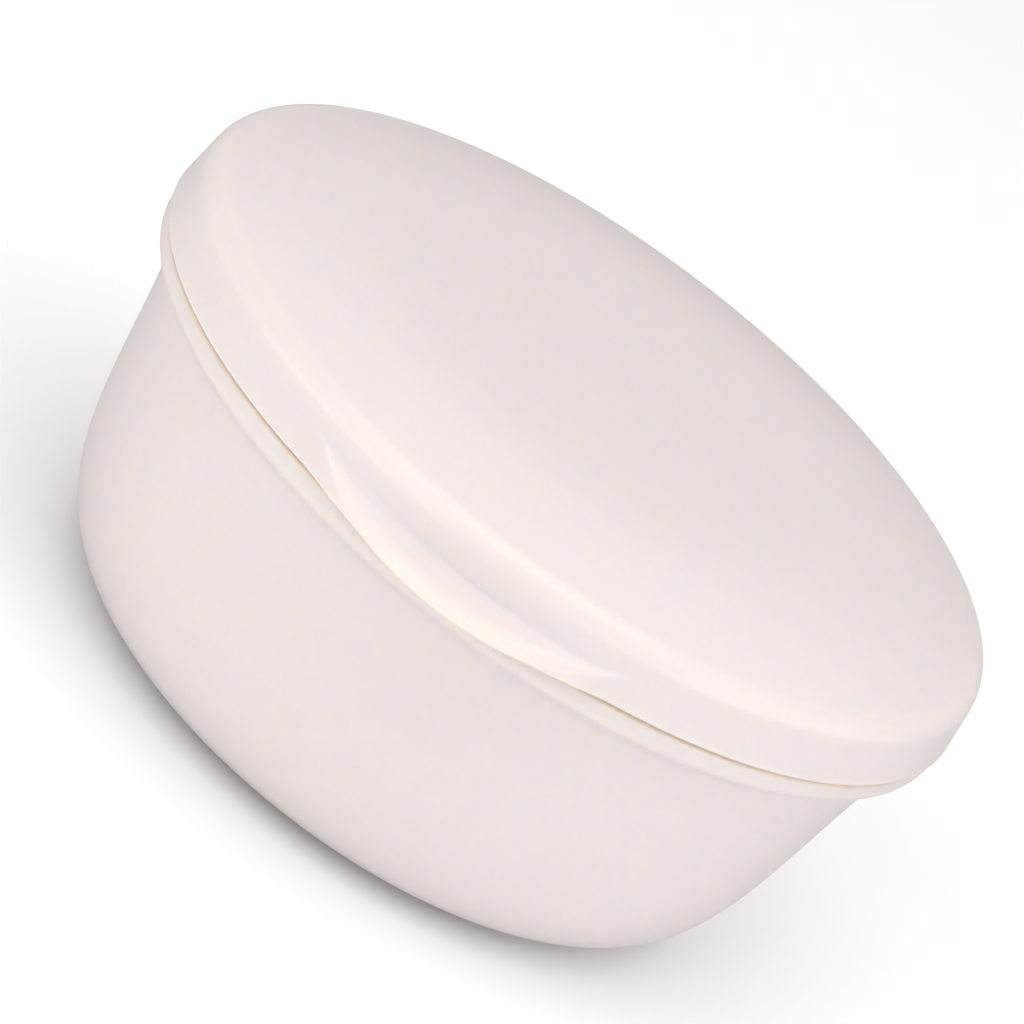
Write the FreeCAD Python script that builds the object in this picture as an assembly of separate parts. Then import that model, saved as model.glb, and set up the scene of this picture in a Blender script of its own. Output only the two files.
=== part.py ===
import FreeCAD, Part
import math
import os

from FreeCAD import Vector

# Round lidded lather bowl, in millimetres. Origin on the axis of the bowl, on the
# plane that it stands on; +Z up; the finger lip of the lid faces -Y.

# ---- driving dimensions -------------------------------------------------------
# bowl
bowl_height = 42.44        # base plane to the lower edge of the closed lid
base_radius = 34.2         # flat disc that the bowl stands on
belly_c = (51.65, 0.0)     # control points of the belly curve (radius, height)
belly_b = (49.55, 15.39)
throat = (53.97, 37.17)    # where the belly meets the flange fillet
flange_fillet = 2.2        # concave fillet below the flange
flange_radius = 57.05      # outer radius of the flange
flange_round_low = 1.9     # convex round that rolls into that fillet
flange_round_top = 0.8
groove = 0.12              # running gap between the flange and the lid's skirt
bowl_wall = 2.3
rim_rise = 5.0             # height of the rim above the skirt's lower edge
rim_radius_low = 54.35
rim_radius_top = 54.15
rim_inner_top = 52.15
rim_round = 0.6

# lid
skirt_radius = 57.5        # outer radius at the lower edge
skirt_draft = 7.282        # degrees, inwards
corner_height = 5.938      # where the round of the lid's corner leaves the skirt
corner_round = 3.292
crown_height = 12.55       # apex of the lid above the skirt's lower edge
crown_flat = 31.0          # radius of the nearly flat middle of the crown
crown_tilt = 1.7           # its slope where it ends, degrees
lid_wall = 2.0
skirt_inner_low = 55.35
skirt_inner_top = 54.75
skirt_edge_round = 0.45
land_inner = 51.3          # inner radius of the land that rests on the rim
land_gap = 0.05            # running gap between the land and the rim
patch_height = 5.2         # top of the zone of the skirt that carries the lip
vestige_radius = 1.0       # witness disc of the moulding gate, on the apex
vestige_rise = 0.03

# finger lip: a crescent on the lower edge of the skirt
lip_heading = -90.0        # degrees about +Z
lip_half_zone = 24.0       # degrees each side that the lip's patch covers
lip_reach = [(0.0, 5.30), (3.3, 5.02), (7.0, 4.20), (8.7, 3.65), (10.5, 2.97),
             (12.5, 2.27), (15.7, 1.47), (17.4, 1.02), (19.2, 0.55), (20.6, 0.24),
             (22.6, 0.0), (lip_half_zone, 0.0)]
lip_crease = [(0.0, 3.20), (8.0, 3.33), (16.0, 3.72), (22.6, 4.20), (lip_half_zone, 4.30)]
lip_floor = [(0.0, 0.45), (12.0, 0.45), (15.0, 0.52), (17.0, 1.05), (19.0, 1.95),
             (21.0, 3.00), (22.6, 3.75), (lip_half_zone, 3.85)]
lip_bend_a = (0.02, 0.55)  # control points of the lip's section (reach, height), 0 to 1
lip_bend_b = (1.00, 0.75)


# ---- helpers ------------------------------------------------------------------
def hermite(table, x):
    """Monotone cubic through the table's points, even in x."""
    x = abs(x)
    n = len(table)
    if x >= table[-1][0]:
        return table[-1][1]
    d = [(table[i + 1][1] - table[i][1]) / (table[i + 1][0] - table[i][0]) for i in range(n - 1)]
    m = [0.0] * n
    for i in range(1, n - 1):
        m[i] = 0.0 if d[i - 1] * d[i] <= 0 else 2 * d[i - 1] * d[i] / (d[i - 1] + d[i])
    for i in range(n - 1):
        x0, y0 = table[i]
        x1, y1 = table[i + 1]
        if x <= x1:
            h = x1 - x0
            t = (x - x0) / h
            return ((2 * t**3 - 3 * t**2 + 1) * y0 + (t**3 - 2 * t**2 + t) * h * m[i]
                    + (-2 * t**3 + 3 * t**2) * y1 + (t**3 - t**2) * h * m[i + 1])
    return table[-1][1]


def bez(p, t):
    s = 1 - t
    w = (s**3, 3 * s * s * t, 3 * s * t * t, t**3)
    return tuple(sum(w[i] * p[i][k] for i in range(4)) for k in range(2))


def v(p):
    """A point of a profile (radius, height) in the XZ plane."""
    return Vector(p[0], 0, p[1])


def line(a, b):
    return Part.makeLine(v(a), v(b))


def arc(centre, radius, deg_from, deg_to):
    pts = []
    for d in (deg_from, 0.5 * (deg_from + deg_to), deg_to):
        a = math.radians(d)
        pts.append(v((centre[0] + radius * math.cos(a), centre[1] + radius * math.sin(a))))
    return Part.Arc(*pts).toShape()


def spline(points, t0=None, t1=None):
    c = Part.BSplineCurve()
    pts = [v(p) for p in points]
    if t0 is None:
        c.interpolate(pts)
    else:
        c.interpolate(Points=pts, InitialTangent=v(t0), FinalTangent=v(t1))
    return c.toShape()


def start(edge):
    return edge.valueAt(edge.FirstParameter)


def unit(p):
    n = math.hypot(*p)
    return (p[0] / n, p[1] / n)


axis_o, axis_z = Vector(0, 0, 0), Vector(0, 0, 1)
os.makedirs("parts", exist_ok=True)

# ---- bowl ---------------------------------------------------------------------
flange_top = bowl_height - groove
belly = [(base_radius, 0.0), belly_c, belly_b, throat]
N = 60
outer_belly = [bez(belly, i / N) for i in range(N + 1)]
inner_belly = []
for i in range(N + 1):
    t = i / N
    a, b = bez(belly, max(t - 1e-4, 0)), bez(belly, min(t + 1e-4, 1))
    tx, tz = unit((b[0] - a[0], b[1] - a[1]))
    x, z = bez(belly, t)
    inner_belly.append((x - bowl_wall * tz, z + bowl_wall * tx))
inner_belly[0] = (base_radius, bowl_wall)
rim_top = bowl_height + rim_rise
# the fillet starts on the belly's own direction; the low round touches the fillet from the other side
t_end = unit((throat[0] - belly_b[0], throat[1] - belly_b[1]))
fil_c = (throat[0] + flange_fillet * t_end[1], throat[1] - flange_fillet * t_end[0])
fil_from = 180.0 - math.degrees(math.atan2(t_end[0], t_end[1]))
low_r = flange_radius - flange_round_low
low_dz = math.sqrt((flange_fillet + flange_round_low)**2 - (low_r - fil_c[0])**2)
low_c = (low_r, fil_c[1] + low_dz)
fil_to = math.degrees(math.atan2(low_dz, low_r - fil_c[0]))
in_last = inner_belly[-1]
rim_in_z = rim_top - rim_round
flat_in = unit((0.06, 1.0))
neck = spline([in_last, (in_last[0] + 0.44, in_last[1] + 3.2), (rim_inner_top, rim_in_z)], t_end, flat_in)

bowl_edges = [line((0, 0), (base_radius, 0))]
bc = Part.BezierCurve()
bc.setPoles([v(p) for p in belly])
bowl_edges.append(bc.toShape())
bowl_edges.append(arc(fil_c, flange_fillet, fil_from, fil_to))
bowl_edges.append(arc(low_c, flange_round_low, fil_to - 180, 0))
r2 = flange_radius - flange_round_top
bowl_edges.append(line((flange_radius, low_c[1]), (flange_radius, flange_top - flange_round_top)))
bowl_edges.append(arc((r2, flange_top - flange_round_top), flange_round_top, 0, 90))
root_r = 0.4
bowl_edges.append(line((r2, flange_top), (rim_radius_low + root_r, flange_top)))
bowl_edges.append(arc((rim_radius_low + root_r, flange_top + root_r), root_r, 270, 180))
bowl_edges.append(line((rim_radius_low, flange_top + root_r), (rim_radius_top, rim_top - rim_round)))
bowl_edges.append(arc((rim_radius_top - rim_round, rim_top - rim_round), rim_round, 0, 90))
bowl_edges.append(line((rim_radius_top - rim_round, rim_top), (rim_inner_top + rim_round, rim_top)))
bowl_edges.append(arc((rim_inner_top + rim_round, rim_top - rim_round), rim_round, 90, 180))
bowl_edges.append(neck)
bowl_edges.append(spline(inner_belly[::-1], (-t_end[0], -t_end[1]), (-1.0, 0.0)))
bowl_edges.append(line((base_radius, bowl_wall), (0, bowl_wall)))
bowl_edges.append(line((0, bowl_wall), (0, 0)))
bowl_wire = Part.Wire(Part.__sortEdges__(bowl_edges))
bowl = Part.Face(bowl_wire).revolve(axis_o, axis_z, 360)
if bowl.Volume < 0:
    bowl.reverse()

# ---- lid ----------------------------------------------------------------------
z0 = bowl_height
tan_d = math.tan(math.radians(skirt_draft))


def skirt_r(h):
    """Outer radius of the skirt at height h above its lower edge."""
    return skirt_radius - h * tan_d


# corner round, tangent to the drafted skirt from inside
nx, nz = math.cos(math.radians(skirt_draft)), math.sin(math.radians(skirt_draft))
h_t = corner_height
fc = (skirt_r(h_t) - corner_round * nx, h_t - corner_round * nz)
# crown: a nearly flat middle arc, then a tighter arc that also touches the corner round
sx, sz = math.sin(math.radians(crown_tilt)), math.cos(math.radians(crown_tilt))
apex = crown_height
mid_R = crown_flat / sx
mid_c = apex - mid_R
joint = (crown_flat, mid_c + mid_R * sz)
wx, wz = joint[0] - fc[0], joint[1] - fc[1]
roll_R = (wx * wx + wz * wz - corner_round**2) / (2 * (wx * sx + wz * sz - corner_round))
roll_c = (joint[0] - roll_R * sx, joint[1] - roll_R * sz)
ang0 = skirt_draft
ang1 = math.degrees(math.atan2(fc[1] - roll_c[1], fc[0] - roll_c[0]))


def up(p):
    return (p[0], p[1] + z0)


def dome(r, drop=0.0):
    """Point of the crown at radius r, on the outside or drop below it."""
    if r <= (mid_R - drop) * sx:
        return (r, mid_c + math.sqrt((mid_R - drop)**2 - r * r))
    return (r, roll_c[1] + math.sqrt((roll_R - drop)**2 - (r - roll_c[0])**2))


def crown_arc(r_from, r_to, drop=0.0):
    return Part.Arc(v(up(dome(r_from, drop))), v(up(dome(0.5 * (r_from + r_to), drop))), v(up(dome(r_to, drop)))).toShape()


a1 = math.radians(ang1)
dome_start = (fc[0] + corner_round * math.cos(a1), fc[1] + corner_round * math.sin(a1))
in_joint = (mid_R - lid_wall) * sx
outer_top = [
    line(up((skirt_r(patch_height), patch_height)), up((skirt_r(h_t), h_t))),
    arc(up(fc), corner_round, ang0, ang1),
    crown_arc(dome_start[0], crown_flat),
    crown_arc(crown_flat, vestige_radius + 0.25),
    Part.Arc(v(up(dome(vestige_radius + 0.25))), v(up((vestige_radius + 0.10, dome(vestige_radius)[1] + 0.3 * vestige_rise))),
             v(up((vestige_radius - 0.15, apex + vestige_rise)))).toShape(),
    line(up((vestige_radius - 0.15, apex + vestige_rise)), up((0, apex + vestige_rise))),
]
land_h = rim_rise + land_gap
rs = 0.5
cav_r = land_inner
e_in = skirt_inner_low + skirt_edge_round
inner_prof = [
    arc(up((e_in, skirt_edge_round)), skirt_edge_round, 270, 180),
    line(up((skirt_inner_low, skirt_edge_round)), up((skirt_inner_top, land_h - rs))),
    arc(up((skirt_inner_top - rs, land_h - rs)), rs, 0, 90),
    line(up((skirt_inner_top - rs, land_h)), up((cav_r + 0.4, land_h))),
    arc(up((cav_r + 0.4, land_h + 0.4)), 0.4, 270, 180),
    line(up((cav_r, land_h + 0.4)), up((cav_r, dome(cav_r - 0.8, lid_wall)[1] - 0.8))),
    Part.Arc(v(up((cav_r, dome(cav_r - 0.8, lid_wall)[1] - 0.8))),
             v(up((cav_r - 0.8 * (1 - math.sqrt(0.5)), dome(cav_r - 0.8, lid_wall)[1] - 0.8 * (1 - math.sqrt(0.5))))),
             v(up(dome(cav_r - 0.8, lid_wall)))).toShape(),
    crown_arc(cav_r - 0.8, in_joint, lid_wall),
    crown_arc(in_joint, 0.0, lid_wall),
]


def even(points, n):
    """n + 1 points spread evenly along a polyline."""
    d = [0.0]
    for a, b in zip(points, points[1:]):
        d.append(d[-1] + math.dist(a, b))
    out = []
    j = 0
    for i in range(n + 1):
        s = d[-1] * i / n
        while j < len(d) - 2 and d[j + 1] < s:
            j += 1
        t = (s - d[j]) / (d[j + 1] - d[j])
        out.append(tuple(points[j][k] + t * (points[j + 1][k] - points[j][k]) for k in range(2)))
    return out


def lip_section(phi):
    """Outer line of the skirt's lower zone at phi degrees from the middle of the lip, down to the round of its edge."""
    reach = hermite(lip_reach, phi)
    top = hermite(lip_crease, phi)
    low = max(hermite(lip_floor, phi), skirt_edge_round)
    pts = []
    for i in range(12):
        h = patch_height + (top - patch_height) * i / 12
        pts.append((skirt_r(h), h))
    bend = [(0.0, 1.0), lip_bend_a, lip_bend_b, (1.0, 0.0)]
    for i in range(61):
        u, w = bez(bend, i / 60)
        h = low + (top - low) * w
        pts.append((skirt_r(h) + reach * u, h))
    if low - skirt_edge_round > 1e-6:
        for i in range(1, 13):
            h = low + (skirt_edge_round - low) * i / 12
            pts.append((skirt_r(h) + reach, h))
    return even(pts, 32)


def lip_edge(phi):
    """The small round below it, down to the plane of the skirt's lower edge."""
    edge_r = skirt_r(skirt_edge_round) + hermite(lip_reach, phi)
    out = []
    for i in range(9):
        a = math.radians(90.0 * i / 8)
        out.append((edge_r - skirt_edge_round * (1 - math.cos(a)), skirt_edge_round * (1 - math.sin(a))))
    return out


steps = 60
rows = []
for k in range(steps + 1):
    phi = -lip_half_zone + 2 * lip_half_zone * k / steps
    a = math.radians(lip_heading + phi)
    rows.append([Vector(r * math.cos(a), r * math.sin(a), h + z0) for r, h in lip_section(phi) + lip_edge(phi)[1:]])
whole = Part.BSplineSurface()
whole.interpolate(rows)
u0, u1, v0, v1 = whole.bounds()
# split where the round of the edge begins
vm = whole.parameter(rows[0][32])[1]
patch = whole.copy()
patch.segment(u0, u1, v0, vm)
edge_patch = whole.copy()
edge_patch.segment(u0, u1, vm, v1)
lower = edge_patch.vIso(v1)      # the lip's outline on the lower plane
if abs(lower.value(lower.FirstParameter).z - z0) > 1e-3:
    raise SystemExit("the lip's lower edge is off its plane")

faces = [patch.toShape(), edge_patch.toShape()]
rest = 360 - 2 * lip_half_zone
turn0 = lip_heading - lip_half_zone
for p in (patch, edge_patch):    # the rest of the skirt, turned from the patches' own side edges
    faces.append(p.uIso(u1).toShape().revolve(axis_o, axis_z, rest))
for n, e in enumerate(outer_top):
    for a_from, a_len in ((turn0, 2 * lip_half_zone), (turn0 + 2 * lip_half_zone, rest)):
        f = e.copy()
        f.rotate(axis_o, axis_z, a_from)
        if n == 0 and a_from == turn0:
            # above the lip: ruled from the patch's own upper edge to the corner fillet
            q = [Vector(skirt_r(h_t) * math.cos(math.radians(turn0 + d)), skirt_r(h_t) * math.sin(math.radians(turn0 + d)), h_t + z0)
                 for d in (0, lip_half_zone, 2 * lip_half_zone)]
            upper = Part.Arc(*q).toShape()
            faces.append(Part.makeRuledSurface(patch.vIso(v0).toShape(), upper))
        else:
            faces.append(f.revolve(axis_o, axis_z, a_len))
for e in inner_prof:
    faces.append(e.revolve(axis_o, axis_z, 360))
end_r = skirt_r(skirt_edge_round) - skirt_edge_round


def on_low(deg, r):
    a = math.radians(deg)
    return Vector(r * math.cos(a), r * math.sin(a), z0)


big_arc = Part.Arc(on_low(turn0 + 2 * lip_half_zone, end_r), on_low(lip_heading + 180, end_r), on_low(turn0, end_r)).toShape()
outer_w = Part.Wire(Part.__sortEdges__([lower.toShape(), big_arc]))
inner_w = Part.Wire([Part.makeCircle(e_in, Vector(0, 0, z0), axis_z)])
ring = Part.Face(Part.Plane(Vector(0, 0, z0), axis_z), outer_w)
hole = Part.Face(Part.Plane(Vector(0, 0, z0), axis_z), inner_w)
faces.append(ring.cut(hole).Faces[0])
sewn = Part.Compound(faces)
sewn.sewShape(0.005)
lid = Part.Solid(sewn.Shells[0])
if lid.Volume < 0:
    lid.reverse()

for name, shape in (("bowl", bowl), ("lid", lid)):
    b = shape.BoundBox
    print(name, shape.ShapeType, "valid", shape.isValid(), "closed", all(s.isClosed() for s in shape.Shells),
          "solids", len(shape.Solids), "faces", len(shape.Faces), "cm3", round(shape.Volume / 1000, 2),
          "box", [round(x, 3) for x in (b.XMin, b.YMin, b.ZMin, b.XMax, b.YMax, b.ZMax)])
print("overlap", round(bowl.common(lid).Volume, 6))
bowl.exportStep("parts/bowl.step")
lid.exportStep("parts/lid.step")
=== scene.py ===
import bpy
import math
import numpy as np
from mathutils import Matrix, Vector


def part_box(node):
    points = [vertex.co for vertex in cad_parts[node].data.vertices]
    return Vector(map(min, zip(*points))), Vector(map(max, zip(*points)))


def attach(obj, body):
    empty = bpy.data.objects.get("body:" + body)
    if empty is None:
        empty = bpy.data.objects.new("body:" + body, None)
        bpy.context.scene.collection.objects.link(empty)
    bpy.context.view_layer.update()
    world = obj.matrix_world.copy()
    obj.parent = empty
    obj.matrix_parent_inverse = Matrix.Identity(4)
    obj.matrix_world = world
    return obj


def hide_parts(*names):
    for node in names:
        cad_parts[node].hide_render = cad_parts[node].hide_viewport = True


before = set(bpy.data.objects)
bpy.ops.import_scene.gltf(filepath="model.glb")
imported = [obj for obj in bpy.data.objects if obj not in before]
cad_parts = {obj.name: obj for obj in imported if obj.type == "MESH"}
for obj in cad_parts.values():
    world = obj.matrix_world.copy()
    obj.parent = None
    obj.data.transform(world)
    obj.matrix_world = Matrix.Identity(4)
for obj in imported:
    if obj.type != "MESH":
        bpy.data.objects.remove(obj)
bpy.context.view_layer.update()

MM = 0.001

# ------------------------------------------------------------------ places, from the frame
bowl_lo, bowl_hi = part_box("bowl")
lid_lo, lid_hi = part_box("lid")
Z0 = 42.44                       # lower edge of the lid above the base, mm
assert abs(lid_hi[2] / MM - 55.02) < 0.02 and abs(bowl_hi[2] / MM - 47.44) < 0.02

# ------------------------------------------------------------------ dimensions, mm, as in the CAD
BASE_R, BELLY_C, BELLY_B, THROAT = 34.2, (51.65, 0.0), (49.55, 15.39), (53.97, 37.17)
FL_FILLET, FL_R, FL_LOW, FL_TOP = 2.2, 57.05, 1.9, 0.8
GROOVE, BOWL_WALL, RIM_RISE = 0.12, 2.3, 5.0
RIM_LOW, RIM_TOP, RIM_IN, RIM_ROUND = 54.35, 54.15, 52.15, 0.6
SK_R, SK_DRAFT, CORNER_H, CORNER_RND = 57.5, 7.282, 5.938, 3.292
CROWN_H, CROWN_FLAT, CROWN_TILT = 12.55, 31.0, 1.7
LID_WALL, IN_LOW, IN_TOP, EDGE = 2.0, 55.35, 54.75, 0.45
LAND_IN, LAND_GAP, PATCH_H = 51.3, 0.05, 5.2
VEST_R, VEST_H = 1.0, 0.03
LIP_HEAD, LIP_HALF = -90.0, 24.0
LIP_REACH = [(0.0, 5.30), (3.3, 5.02), (7.0, 4.20), (8.7, 3.65), (10.5, 2.97),
             (12.5, 2.27), (15.7, 1.47), (17.4, 1.02), (19.2, 0.55), (20.6, 0.24),
             (22.6, 0.0), (LIP_HALF, 0.0)]
LIP_CREASE = [(0.0, 3.20), (8.0, 3.33), (16.0, 3.72), (22.6, 4.20), (LIP_HALF, 4.30)]
LIP_FLOOR = [(0.0, 0.45), (12.0, 0.45), (15.0, 0.52), (17.0, 1.05), (19.0, 1.95),
             (21.0, 3.00), (22.6, 3.75), (LIP_HALF, 3.85)]
BEND_A, BEND_B = (0.02, 0.55), (1.00, 0.75)

N = 448                          # columns round the axis


# ------------------------------------------------------------------ profile helpers
def hermite(table, x):
    x = abs(x)
    n = len(table)
    if x >= table[-1][0]:
        return table[-1][1]
    d = [(table[i + 1][1] - table[i][1]) / (table[i + 1][0] - table[i][0]) for i in range(n - 1)]
    m = [0.0] * n
    for i in range(1, n - 1):
        m[i] = 0.0 if d[i - 1] * d[i] <= 0 else 2 * d[i - 1] * d[i] / (d[i - 1] + d[i])
    for i in range(n - 1):
        x0, y0 = table[i]
        x1, y1 = table[i + 1]
        if x <= x1:
            h = x1 - x0
            t = (x - x0) / h
            return ((2 * t**3 - 3 * t**2 + 1) * y0 + (t**3 - 2 * t**2 + t) * h * m[i]
                    + (-2 * t**3 + 3 * t**2) * y1 + (t**3 - t**2) * h * m[i + 1])
    return table[-1][1]


def bez(p, t):
    p = np.array(p, float)
    t = np.atleast_1d(np.array(t, float))[:, None]
    s = 1 - t
    return s**3 * p[0] + 3 * s * s * t * p[1] + 3 * s * t * t * p[2] + t**3 * p[3]


def arc(c, r, a0, a1, n):
    a = np.radians(np.linspace(a0, a1, n + 1))
    return np.c_[c[0] + r * np.cos(a), c[1] + r * np.sin(a)]


def seg(a, b, n=1, hold=0.12):
    """A straight run with a holding ring close to each end, so that the fillets beside it shade cleanly."""
    a, b = np.array(a, float), np.array(b, float)
    long = np.linalg.norm(b - a)
    t = list(np.linspace(0, 1, n + 1))
    if hold and long > 3 * hold:
        t += [hold / long, 1 - hold / long]
    t = np.array(sorted(set(t)))[:, None]
    return a + (b - a) * t


def chain(*runs):
    out = []
    for r in runs:
        for p in np.atleast_2d(r):
            if not out or np.hypot(*(p - out[-1])) > 1e-5:
                out.append(np.array(p, float))
    return np.array(out)


def resample(points, n):
    d = np.r_[0, np.cumsum(np.hypot(*np.diff(points, axis=0).T))]
    s = np.linspace(0, d[-1], n + 1)
    return np.c_[np.interp(s, d, points[:, 0]), np.interp(s, d, points[:, 1])]


# ------------------------------------------------------------------ mesh by rings round the axis
def count_at(r):
    n = N
    for limit in (15.0, 7.5, 3.75, 1.4):
        if r < limit:
            n //= 2
    return n


def lathe(name, rings):
    """rings: a list of (N, 2) arrays of (radius, height), from the outer pole round to the inner pole. A ring near
    the axis keeps only every 2nd, 4th ... column, so that no sliver faces meet at a pole."""
    verts, faces = [], []
    prev = None
    ang = np.radians(-90.0 + 360.0 * np.arange(N) / N)
    for ring in rings:
        ring = np.asarray(ring, float)
        if ring.ndim == 1:
            ring = np.repeat(ring[None], N, axis=0)
        r = ring[:, 0].max()
        if r < 1e-6:
            idx = [len(verts)]
            verts.append((0.0, 0.0, ring[0, 1] * MM))
        else:
            step = N // count_at(r)
            idx = []
            for k in range(0, N, step):
                idx.append(len(verts))
                verts.append((ring[k, 0] * math.cos(ang[k]) * MM, ring[k, 0] * math.sin(ang[k]) * MM, ring[k, 1] * MM))
        if prev is not None:
            a, b = prev, idx
            if len(a) == len(b):
                n = len(a)
                faces += [(a[i], a[(i + 1) % n], b[(i + 1) % n], b[i]) for i in range(n)]
            elif len(a) == 1:
                n = len(b)
                faces += [(a[0], b[(i + 1) % n], b[i]) for i in range(n)]
            elif len(b) == 1:
                n = len(a)
                faces += [(a[i], a[(i + 1) % n], b[0]) for i in range(n)]
            elif len(b) == 2 * len(a):
                n, m = len(a), len(b)
                for i in range(n):
                    faces.append((a[i], b[2 * i + 1], b[2 * i]))
                    faces.append((a[i], a[(i + 1) % n], b[2 * i + 1]))
                    faces.append((a[(i + 1) % n], b[(2 * i + 2) % m], b[2 * i + 1]))
            elif len(a) == 2 * len(b):
                n, m = len(b), len(a)
                for i in range(n):
                    faces.append((a[2 * i], a[2 * i + 1], b[i]))
                    faces.append((a[2 * i + 1], b[(i + 1) % n], b[i]))
                    faces.append((a[2 * i + 1], a[(2 * i + 2) % m], b[(i + 1) % n]))
            else:
                raise RuntimeError("ring counts %d and %d" % (len(a), len(b)))
        prev = idx
    mesh = bpy.data.meshes.new(name)
    mesh.from_pydata(verts, [], faces)
    mesh.validate()
    mesh.polygons.foreach_set("use_smooth", [True] * len(mesh.polygons))
    mesh.update()
    obj = bpy.data.objects.new(name, mesh)
    bpy.context.scene.collection.objects.link(obj)
    return obj


def axis_rings(r_end, z_of):
    """Rings from a pole out to r_end: small steps near the pole, matched to the column counts."""
    rs = [0.0, 0.45, 0.95, 1.45, 2.2, 3.0, 3.8, 5.0, 6.2, 7.6, 9.4, 11.2, 13.2, 15.2]
    rs = [r for r in rs if r < r_end - 1.0]
    n = max(2, int((r_end - rs[-1]) / 1.5))
    rs += list(np.linspace(rs[-1], r_end, n + 1)[1:])
    return np.array([(r, z_of(r)) for r in rs])


# ------------------------------------------------------------------ bowl
fl_top = Z0 - GROOVE
belly = [(BASE_R, 0.0), BELLY_C, BELLY_B, THROAT]
ts = np.linspace(0, 1, 57)
outer_belly = bez(belly, ts)
e1 = bez(belly, np.clip(ts + 1e-4, 0, 1)) - bez(belly, np.clip(ts - 1e-4, 0, 1))
e1 /= np.linalg.norm(e1, axis=1)[:, None]
inner_belly = outer_belly + BOWL_WALL * np.c_[-e1[:, 1], e1[:, 0]]
inner_belly[0] = (BASE_R, BOWL_WALL)
rim_z = Z0 + RIM_RISE
te = e1[-1]
fc = (THROAT[0] + FL_FILLET * te[1], THROAT[1] - FL_FILLET * te[0])
fa = 180.0 - math.degrees(math.atan2(te[0], te[1]))
low_dz = math.sqrt((FL_FILLET + FL_LOW)**2 - (FL_R - FL_LOW - fc[0])**2)
low_c = (FL_R - FL_LOW, fc[1] + low_dz)
fb = math.degrees(math.atan2(low_dz, low_c[0] - fc[0]))
p_in = inner_belly[-1]
neck = bez([p_in, p_in + e1[-1] * 3.3, np.array((RIM_IN, rim_z - RIM_ROUND)) - np.array((0.06, 1.0)) * 3.3,
            (RIM_IN, rim_z - RIM_ROUND)], np.linspace(0, 1, 9))
bowl_profile = chain(
    axis_rings(BASE_R, lambda r: 0.0),
    outer_belly,
    arc(fc, FL_FILLET, fa, fb, 12),
    arc(low_c, FL_LOW, fb - 180.0, 0, 14),
    seg((FL_R, low_c[1]), (FL_R, fl_top - FL_TOP), 1),
    arc((FL_R - FL_TOP, fl_top - FL_TOP), FL_TOP, 0, 90, 9),
    seg((FL_R - FL_TOP, fl_top), (RIM_LOW + 0.4, fl_top), 2),
    arc((RIM_LOW + 0.4, fl_top + 0.4), 0.4, 270, 180, 5),
    seg((RIM_LOW, fl_top + 0.4), (RIM_TOP, rim_z - RIM_ROUND), 4),
    arc((RIM_TOP - RIM_ROUND, rim_z - RIM_ROUND), RIM_ROUND, 0, 90, 7),
    seg((RIM_TOP - RIM_ROUND, rim_z), (RIM_IN + RIM_ROUND, rim_z), 1),
    arc((RIM_IN + RIM_ROUND, rim_z - RIM_ROUND), RIM_ROUND, 90, 180, 7),
    neck[::-1],
    inner_belly[::-1],
    axis_rings(BASE_R, lambda r: BOWL_WALL)[::-1],
)
bowl_shell = lathe("bowl_shell", list(bowl_profile))

# ------------------------------------------------------------------ lid
tan_d = math.tan(math.radians(SK_DRAFT))


def skirt_r(h):
    return SK_R - h * tan_d


nx, nz = math.cos(math.radians(SK_DRAFT)), math.sin(math.radians(SK_DRAFT))
h_t = CORNER_H
cc = (skirt_r(h_t) - CORNER_RND * nx, h_t - CORNER_RND * nz)
sx, sz = math.sin(math.radians(CROWN_TILT)), math.cos(math.radians(CROWN_TILT))
APEX = CROWN_H
mid_R = CROWN_FLAT / sx
mid_c = APEX - mid_R
jx, jz = CROWN_FLAT, mid_c + mid_R * sz
wx, wz = jx - cc[0], jz - cc[1]
roll_R = (wx * wx + wz * wz - CORNER_RND**2) / (2 * (wx * sx + wz * sz - CORNER_RND))
roll_c = (jx - roll_R * sx, jz - roll_R * sz)
a_end = math.degrees(math.atan2(cc[1] - roll_c[1], cc[0] - roll_c[0]))


def dome(r, drop=0.0):
    if r <= (mid_R - drop) * sx:
        return mid_c + math.sqrt((mid_R - drop)**2 - r * r)
    return roll_c[1] + math.sqrt((roll_R - drop)**2 - (r - roll_c[0])**2)


def up(points):
    return np.atleast_2d(points) + np.array((0.0, Z0))


def section(phi):
    """The skirt's lower zone at phi degrees from the middle of the lip, then the small round of its lower edge."""
    reach, top = hermite(LIP_REACH, phi), hermite(LIP_CREASE, phi)
    low = max(hermite(LIP_FLOOR, phi), EDGE)
    h = np.linspace(PATCH_H, top, 12)[:-1]
    line = [np.c_[skirt_r(h), h]]
    b = bez([(0.0, 1.0), BEND_A, BEND_B, (1.0, 0.0)], np.linspace(0, 1, 60))
    h = low + (top - low) * b[:, 1]
    line.append(np.c_[skirt_r(h) + reach * b[:, 0], h])
    if low - EDGE > 1e-6:
        h = np.linspace(low, EDGE, 12)[1:]
        line.append(np.c_[skirt_r(h) + reach, h])
    upper = resample(np.vstack(line), 40)
    er = skirt_r(EDGE) + reach
    edge = arc((er - EDGE, EDGE), EDGE, 0, -90, 6)
    return upper, edge


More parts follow.
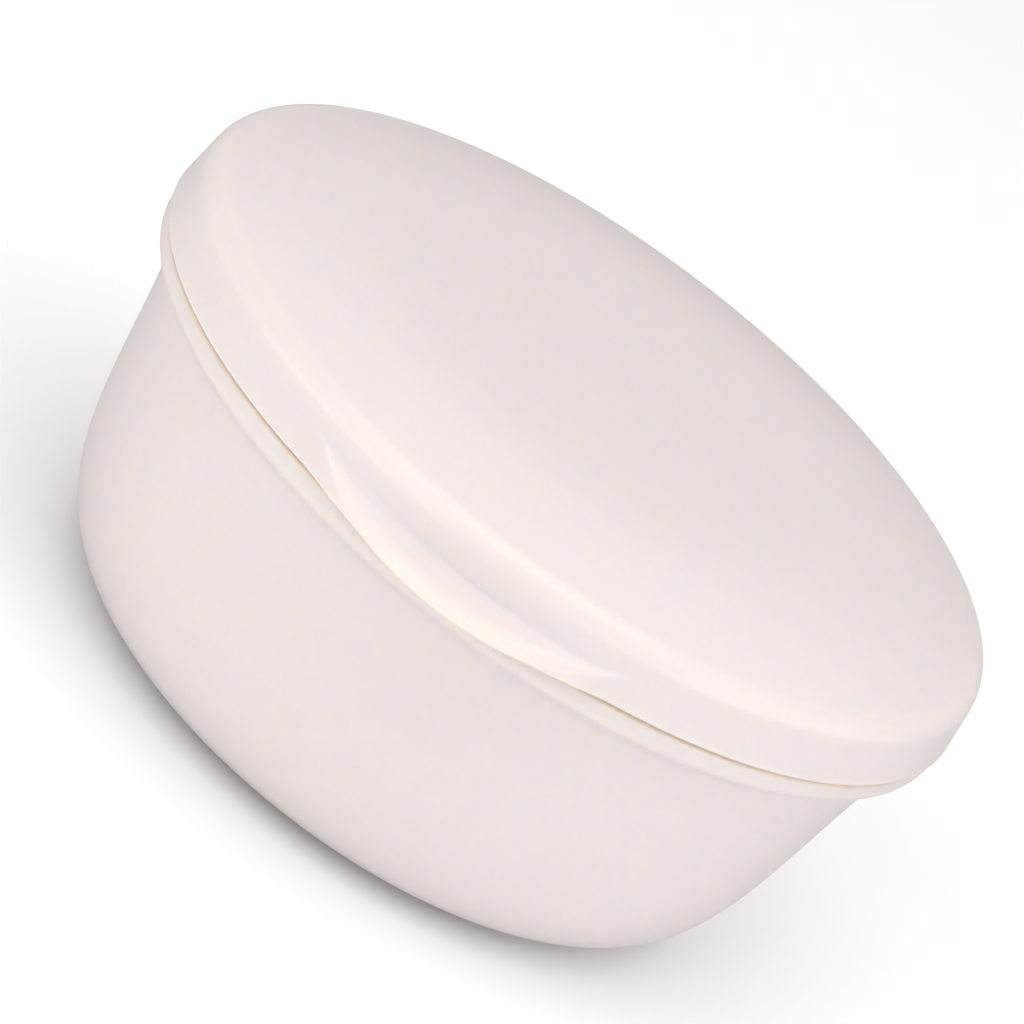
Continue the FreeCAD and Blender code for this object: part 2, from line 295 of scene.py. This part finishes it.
dome_start = (cc[0] + CORNER_RND * math.cos(math.radians(a_end)), cc[1] + CORNER_RND * math.sin(math.radians(a_end)))
dome_rs = np.r_[VEST_R + 0.25, 1.7, 2.3, 3.0, 3.8, 5.0, 6.2, 7.6, 9.4, 11.2, 13.2, 15.2]
dome_rs = np.r_[dome_rs, np.linspace(15.2, dome_start[0] - 0.25, 28)[1:], dome_start[0]]
top_part = chain(
    [(0.0, APEX + VEST_H), (0.40, APEX + VEST_H), (VEST_R - 0.25, APEX + VEST_H)],
    [(VEST_R - 0.10, dome(VEST_R) + 0.85 * VEST_H), (VEST_R, dome(VEST_R) + 0.5 * VEST_H), (VEST_R + 0.10, dome(VEST_R) + 0.15 * VEST_H)],
    [(r, dome(r)) for r in dome_rs],
    arc(cc, CORNER_RND, a_end, SK_DRAFT, 26),
    seg((skirt_r(h_t), h_t), (skirt_r(PATCH_H), PATCH_H), 1, 0.2),
)
land_h = RIM_RISE + LAND_GAP
e_in = IN_LOW + EDGE
rs = 0.5
cz = dome(LAND_IN - 0.8, LID_WALL) - 0.8
inner_part = chain(
    arc((e_in, EDGE), EDGE, 270, 180, 6),
    seg((IN_LOW, EDGE), (IN_TOP, land_h - rs), 4),
    arc((IN_TOP - rs, land_h - rs), rs, 0, 90, 6),
    seg((IN_TOP - rs, land_h), (LAND_IN + 0.4, land_h), 2),
    arc((LAND_IN + 0.4, land_h + 0.4), 0.4, 270, 180, 6),
    seg((LAND_IN, land_h + 0.4), (LAND_IN, cz), 1),
    arc((LAND_IN - 0.8, cz), 0.8, 0, 90, 8),
    axis_rings(LAND_IN - 0.8, lambda r: dome(r, LID_WALL))[::-1],
)
phis = ((360.0 * np.arange(N) / N) + 180.0) % 360.0 - 180.0
secs = [section(p) for p in phis]
rings = [np.repeat(up(p), N, axis=0) for p in top_part]
for j in range(1, 41):
    rings.append(up(np.array([s[0][j] for s in secs])))
for j in range(1, 7):
    rings.append(up(np.array([s[1][j] for s in secs])))
ends = np.array([s[1][6] for s in secs])
target = np.repeat(np.array([[e_in, 0.0]]), N, axis=0)
for t in (0.06, 0.35, 0.65, 0.94):
    rings.append(up(ends + (target - ends) * t))
rings += [np.repeat(up(p), N, axis=0) for p in inner_part]
lid_shell = lathe("lid_shell", rings)


# ------------------------------------------------------------------ material: polished cream-white plastic
def plastic(name, tint, shift, groove):
    """groove: heights in mm between which the piece takes the painted warm shade of the parting groove, as
    (none below, full from, full to, none above)."""
    m = bpy.data.materials.new(name)
    m.use_nodes = True
    nt = m.node_tree
    nt.nodes.clear()
    new, link = nt.nodes.new, nt.links.new

    def noise(scale, detail=2.0, rough=0.5):
        n = new("ShaderNodeTexNoise")
        n.inputs["Scale"].default_value = scale
        n.inputs["Detail"].default_value = detail
        n.inputs["Roughness"].default_value = rough
        link(mp.outputs["Vector"], n.inputs["Vector"])
        return n.outputs["Fac"]

    def spread(value, low, high, to_low, to_high, smooth=False):
        n = new("ShaderNodeMapRange")
        if smooth:
            n.interpolation_type = "SMOOTHSTEP"
        n.inputs["From Min"].default_value, n.inputs["From Max"].default_value = low, high
        n.inputs["To Min"].default_value, n.inputs["To Max"].default_value = to_low, to_high
        link(value, n.inputs["Value"])
        return n.outputs["Result"]

    def math_of(op, a, b):
        n = new("ShaderNodeMath")
        n.operation = op
        for k, x in enumerate((a, b)):
            if isinstance(x, float):
                n.inputs[k].default_value = x
            else:
                link(x, n.inputs[k])
        return n.outputs["Value"]

    out = new("ShaderNodeOutputMaterial")
    bs = new("ShaderNodeBsdfPrincipled")
    link(bs.outputs["BSDF"], out.inputs["Surface"])
    co = new("ShaderNodeTexCoord")
    mp = new("ShaderNodeMapping")
    mp.inputs["Location"].default_value = (shift, shift * 0.7, shift * 0.3)
    link(co.outputs["Object"], mp.inputs["Vector"])

    # colour: resin that is not quite even, a touch warmer in broad clouds, with very faint fine mottling
    ramp = new("ShaderNodeValToRGB")
    ramp.color_ramp.elements[0].position = 0.30
    ramp.color_ramp.elements[1].position = 0.72
    c = Vector(tint)
    ramp.color_ramp.elements[0].color = (c.x * 0.998, c.y * 0.995, c.z * 0.990, 1)
    ramp.color_ramp.elements[1].color = (c.x, c.y, c.z, 1)
    link(noise(22.0, 1.0), ramp.inputs["Fac"])
    mott = spread(noise(700.0, 2.0), 0.3, 0.7, 0.996, 1.0)
    mix = new("ShaderNodeMix")
    mix.data_type, mix.blend_type = "RGBA", "MULTIPLY"
    mix.inputs["Factor"].default_value = 1.0
    link(ramp.outputs["Color"], mix.inputs["A"])
    link(mott, mix.inputs["B"])
    # the parting groove: painted warm shade, a tan tint strongest at its bottom, standing in for the warm light and
    # shade held in the groove
    sep = new("ShaderNodeSeparateXYZ")
    link(co.outputs["Object"], sep.inputs["Vector"])
    rise = spread(sep.outputs["Z"], groove[0] * MM, groove[1] * MM, 0.0, 1.0, True)
    fall = spread(sep.outputs["Z"], groove[2] * MM, groove[3] * MM, 1.0, 0.0, True)
    shade_unevenness = spread(noise(90.0, 3.0, 0.6), 0.3, 0.7, 0.82, 1.0)
    fac = math_of("MULTIPLY", math_of("MULTIPLY", rise, fall), shade_unevenness)
    warm = new("ShaderNodeMix")
    warm.data_type, warm.blend_type = "RGBA", "MULTIPLY"
    link(fac, warm.inputs["Factor"])
    link(mix.outputs["Result"], warm.inputs["A"])
    warm.inputs["B"].default_value = GROOVE_WARM_SHADE + (1,)
    link(warm.outputs["Result"], bs.inputs["Base Color"])

    # gloss: polished, with handling haze in broad patches
    link(spread(noise(60.0, 3.0), 0.3, 0.75, ROUGH - 0.012, ROUGH + 0.016), bs.inputs["Roughness"])

    # relief: the faint orange peel and flow of the moulding, a few microns
    b1 = new("ShaderNodeBump")
    b1.inputs["Strength"].default_value = 1.0
    b1.inputs["Distance"].default_value = 0.0000025
    link(noise(420.0, 1.0), b1.inputs["Height"])
    b2 = new("ShaderNodeBump")
    b2.inputs["Strength"].default_value = 1.0
    b2.inputs["Distance"].default_value = 0.000015
    link(noise(40.0, 0.0), b2.inputs["Height"])
    link(b2.outputs["Normal"], b1.inputs["Normal"])
    link(b1.outputs["Normal"], bs.inputs["Normal"])

    bs.inputs["IOR"].default_value = 1.49
    bs.inputs["Subsurface Weight"].default_value = 1.0
    bs.inputs["Subsurface Radius"].default_value = (1.0, 0.66, 0.36)
    bs.inputs["Subsurface Scale"].default_value = 0.0022
    return m


TINT = (0.738, 0.680, 0.674)
# painted warm shade of the parting groove: a tan tint multiplied into the base colour there
GROOVE_WARM_SHADE = (1.0, 0.9, 0.768)
ROUGH = 0.33
# heights in mm of the painted warm shade band on each piece, round the parting groove
mat_bowl = plastic("cream_plastic_bowl", TINT, 0.37, (41.45, 42.15, 42.8, 43.6))
mat_lid = plastic("cream_plastic_lid", TINT, 1.61, (42.0, 42.2, 42.5, 42.75))
bowl_shell.data.materials.append(mat_bowl)
lid_shell.data.materials.append(mat_lid)
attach(bowl_shell, "bowl")
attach(lid_shell, "lid")
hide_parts("bowl")
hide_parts("lid")

# ------------------------------------------------------------------ floor
me = bpy.data.meshes.new("floor")
S = 4.0
me.from_pydata([(-S, -S, 0), (S, -S, 0), (S, S, 0), (-S, S, 0)], [], [(0, 1, 2, 3)])
floor = bpy.data.objects.new("floor", me)
bpy.context.scene.collection.objects.link(floor)
floor.location = (0, 0, -0.0002)
fm = bpy.data.materials.new("floor_pale")
fm.use_nodes = True
fb = fm.node_tree.nodes["Principled BSDF"]
fb.inputs["Base Color"].default_value = (0.96, 0.96, 0.96, 1)
fb.inputs["Roughness"].default_value = 0.9
fb.inputs["Specular IOR Level"].default_value = 0.1
me.materials.append(fm)
floor.visible_glossy = False     # a matt paper floor that leaves no sheen on the plastic

# ------------------------------------------------------------------ camera, rolled as in the picture
E, D = math.radians(21.357), 0.700
PAN, TILT, ROLL = 0.0018953, 0.0138579, math.radians(37.4212)
FOCAL_PX = 8.294806 * 700.0
H = math.radians(1.5)
xh = Vector((math.sin(H), -math.cos(H), 0))
yh = Vector((math.cos(H), math.sin(H), 0))
zh = Vector((0, 0, 1))
place = Vector((0, 0, 0.04244)) + D * (math.cos(E) * xh + math.sin(E) * zh)
fwd = -(math.cos(E) * xh + math.sin(E) * zh)
upv = yh.cross(fwd)
base = Matrix((yh, -upv, fwd))
cp, sp, ct, st, cr_, sr_ = math.cos(PAN), math.sin(PAN), math.cos(TILT), math.sin(TILT), math.cos(ROLL), math.sin(ROLL)
Ry = Matrix(((cp, 0, sp), (0, 1, 0), (-sp, 0, cp)))
Rx = Matrix(((1, 0, 0), (0, ct, -st), (0, st, ct)))
Rz = Matrix(((cr_, -sr_, 0), (sr_, cr_, 0), (0, 0, 1)))
rows = Rz @ Rx @ Ry @ base
cam = bpy.data.objects.new("camera", bpy.data.cameras.new("camera"))
bpy.context.scene.collection.objects.link(cam)
rot = Matrix((rows[0], -rows[1], -rows[2])).transposed()
cam.matrix_world = Matrix.Translation(place) @ rot.to_4x4()
cam.data.sensor_width = 36.0
cam.data.lens = 36.0 * FOCAL_PX / 1024.0
cam.data.clip_start, cam.data.clip_end = 0.01, 50.0
bpy.context.scene.camera = cam

# ------------------------------------------------------------------ light
LIGHTS = {
    # name: (azimuth, elevation, watts, colour); each is a soft panel 1.5 m wide at 1.4 m
    "front_low": (0, 8, 0.58, (1.001, 1.002, 0.997)),
    "front_right_low": (45, 8, 3.26, (0.959, 1.002, 1.039)),
    "front_left_low": (-45, 8, 3.44, (0.989, 1.011, 1.000)),
    "right_low": (90, 8, 1.73, (1.003, 0.997, 1.000)),
    "left_low": (-90, 8, 0.78, (1.013, 1.000, 0.987)),
    "front_left": (-40, 30, 6.13, (0.977, 1.020, 1.003)),
    "right_side": (80, 30, 4.99, (0.987, 0.990, 1.023)),
    "right_high": (60, 55, 0.48, (1.009, 1.000, 0.992)),
    "back_high": (180, 55, 3.77, (1.048, 0.987, 0.965)),
    "top": (0, 78, 9.75, (1.005, 1.004, 0.991)),
}
WORLD, WORLD_TINT = 0.339, (1.019, 0.985, 0.996)
target = Vector((0, 0, 0.035))
for name, (az, el, watts, colour) in LIGHTS.items():
    ld = bpy.data.lights.new(name, "AREA")
    ld.shape = "RECTANGLE"
    ld.size, ld.size_y = 1.5, 0.4 if el < 10 else 1.1
    ld.energy = watts
    ld.color = colour
    lo_ = bpy.data.objects.new(name, ld)
    lo_.visible_camera = False
    bpy.context.scene.collection.objects.link(lo_)
    a, e = math.radians(az), math.radians(el)
    back = Vector((math.sin(a) * math.cos(e), -math.cos(a) * math.cos(e), math.sin(e)))
    lo_.location = target + back * 1.4
    lo_.rotation_mode = "QUATERNION"
    lo_.rotation_quaternion = back.to_track_quat("Z", "Y")
world = bpy.data.worlds.new("studio")
bpy.context.scene.world = world
world.use_nodes = True
world.node_tree.nodes["Background"].inputs["Color"].default_value = WORLD_TINT + (1,)
world.node_tree.nodes["Background"].inputs["Strength"].default_value = WORLD
bpy.context.scene.view_settings.view_transform = "Standard"
bpy.context.scene.view_settings.look = "None"
